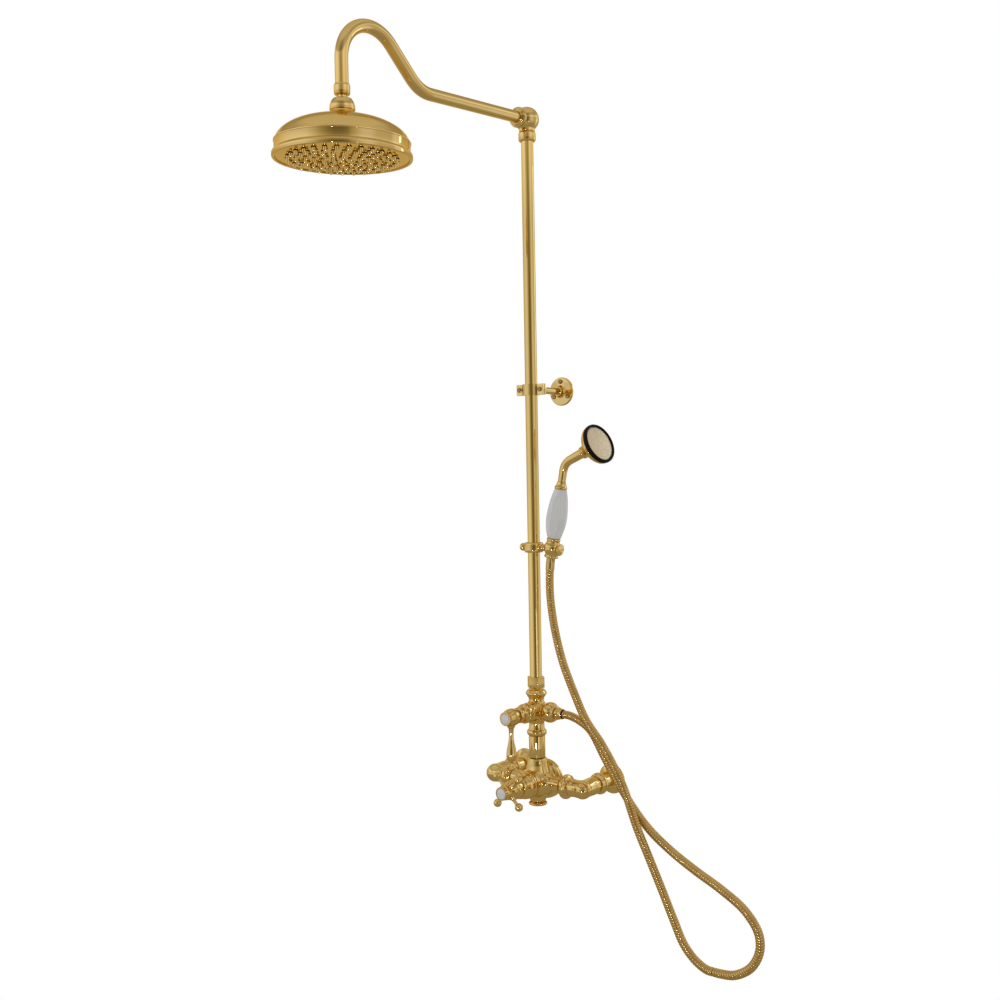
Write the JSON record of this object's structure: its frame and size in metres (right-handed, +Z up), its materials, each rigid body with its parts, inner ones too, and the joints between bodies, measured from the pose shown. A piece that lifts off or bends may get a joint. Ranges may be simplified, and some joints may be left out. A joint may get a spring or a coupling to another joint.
{
  "type": "rainfall shower column",
  "caption": "Wall-mounted brass shower column: thermostatic valve, diverter, riser with swan-neck arm and rain head, and a hand shower on a slider with its hose.",
  "frame": {"origin": "on the wall plane, midway between the two inlets at their centre height", "axes": "+Z up along the riser, +Y into the wall, +X to the side of the hose outlet and the hand shower"},
  "size_m": [0.5447, 0.6162, 1.4508],
  "materials": {
    "polished_brass": "polished, unlacquered look, mirror bright",
    "aged_brass": "turned brass, slightly darker: screws and inner pieces",
    "hose_brass": "interlocked brass sleeve over a rubber inner tube",
    "porcelain": "glazed, glossy white",
    "black_rubber": "moulded, satin black",
    "pale_face": "pale perforated face plate",
    "acetal": "moulded bearing plastic"
  },
  "bodies": {
    "column": {"left_wall_flange": "polished_brass", "right_wall_flange": "polished_brass", "left_inlet_pipe": "polished_brass", "right_inlet_pipe": "polished_brass", "left_elbow_nut": "polished_brass", "right_elbow_nut": "polished_brass", "left_elbow": "polished_brass", "right_elbow": "polished_brass", "left_union_nut": "polished_brass", "right_union_nut": "polished_brass", "valve_body": "polished_brass", "thermostatic_cartridge": "aged_brass", "valve_bonnet": "polished_brass", "bottom_cap": "polished_brass", "lower_tube": "polished_brass", "diverter_body": "polished_brass", "diverter_cartridge": "aged_brass", "diverter_bonnet": "polished_brass", "hose_outlet_nut": "polished_brass", "riser_nut": "polished_brass", "riser_tube": "polished_brass", "riser_top_collar": "polished_brass", "bracket_flange": "polished_brass", "flange_screw_1": "aged_brass", "flange_screw_2": "aged_brass", "flange_screw_3": "aged_brass", "bracket_rod": "polished_brass", "clamp_front": "polished_brass", "clamp_rear": "polished_brass", "clamp_screw_left": "aged_brass", "clamp_screw_right": "aged_brass", "hose_nut": "polished_brass", "hose_lower": "hose_brass", "hose_upper": "hose_brass"},
    "arm": {"elbow_ball": "polished_brass", "arm_nut": "polished_brass", "shower_arm": "polished_brass", "arm_end_collar": "polished_brass", "swivel_ball": "polished_brass"},
    "seat_ring": {"ball_seat": "acetal"},
    "rain_head": {"ball_cover": "polished_brass", "head_dome": "polished_brass", "head_gasket": "black_rubber", "spray_plate": "polished_brass"},
    "temperature_handle": {"cross_handle": "polished_brass", "cross_handle_cap": "porcelain"},
    "lever": {"diverter_lever": "polished_brass", "lever_cap": "porcelain"},
    "slider": {"slider_clamp": "polished_brass", "slider_lining": "acetal"},
    "thumb_knob": {"slider_knob": "polished_brass"},
    "tilting_cradle": {"cradle": "polished_brass", "cradle_screw": "aged_brass"},
    "hose_end": {"hose_cone": "polished_brass"},
    "hand_shower": {"porcelain_handle": "porcelain", "handle_ferrule": "polished_brass", "handset_neck": "polished_brass", "handset_bell": "polished_brass", "handset_ring": "black_rubber", "handset_face": "pale_face"}
  },
  "joints": [
    {"name": "arm_swing", "type": "hinge", "parent": "column", "child": "arm", "pos_m": [0, -0.089, 1.133], "axis": [0, 0, 1], "range_deg": [-60, 60]},
    {"name": "head_tilt_fore", "type": "hinge", "parent": "arm", "child": "seat_ring", "pos_m": [0, -0.516, 1.0595], "axis": [1, 0, 0], "range_deg": [-12, 12]},
    {"name": "head_tilt_side", "type": "hinge", "parent": "seat_ring", "child": "rain_head", "pos_m": [0, -0.516, 1.0595], "axis": [0, 1, 0], "range_deg": [-12, 12]},
    {"name": "temperature_turn", "type": "hinge", "parent": "column", "child": "temperature_handle", "pos_m": [0, -0.173, 0], "axis": [0, -1, 0], "range_deg": [-120, 120]},
    {"name": "diverter_turn", "type": "hinge", "parent": "column", "child": "lever", "pos_m": [0, -0.16, 0.123], "axis": [0, -1, 0], "range_deg": [-90, 90]},
    {"name": "slider_slide", "type": "slide", "parent": "column", "child": "slider", "axis": [0, 0, 1], "range_m": [-0.06, 0.2], "deforming": ["hose_upper"]},
    {"name": "knob_turn", "type": "hinge", "parent": "slider", "child": "thumb_knob", "pos_m": [-0.022, -0.089, 0.405], "axis": [-1, 0, 0], "range_deg": [0, 180]},
    {"name": "cradle_tilt", "type": "hinge", "parent": "slider", "child": "tilting_cradle", "pos_m": [0.04, -0.089, 0.405], "axis": [1, 0, 0], "range_deg": [-20, 20], "deforming": ["hose_upper"]},
    {"name": "handset_lift", "type": "slide", "parent": "tilting_cradle", "child": "hose_end", "axis": [0.1908, 0, 0.9816], "range_m": [0, 0.04], "deforming": ["hose_upper"]},
    {"name": "handset_spin", "type": "hinge", "parent": "hose_end", "child": "hand_shower", "pos_m": [0.04, -0.089, 0.405], "axis": [0.1908, 0, 0.9816], "range_deg": [-60, 60]}
  ]
}
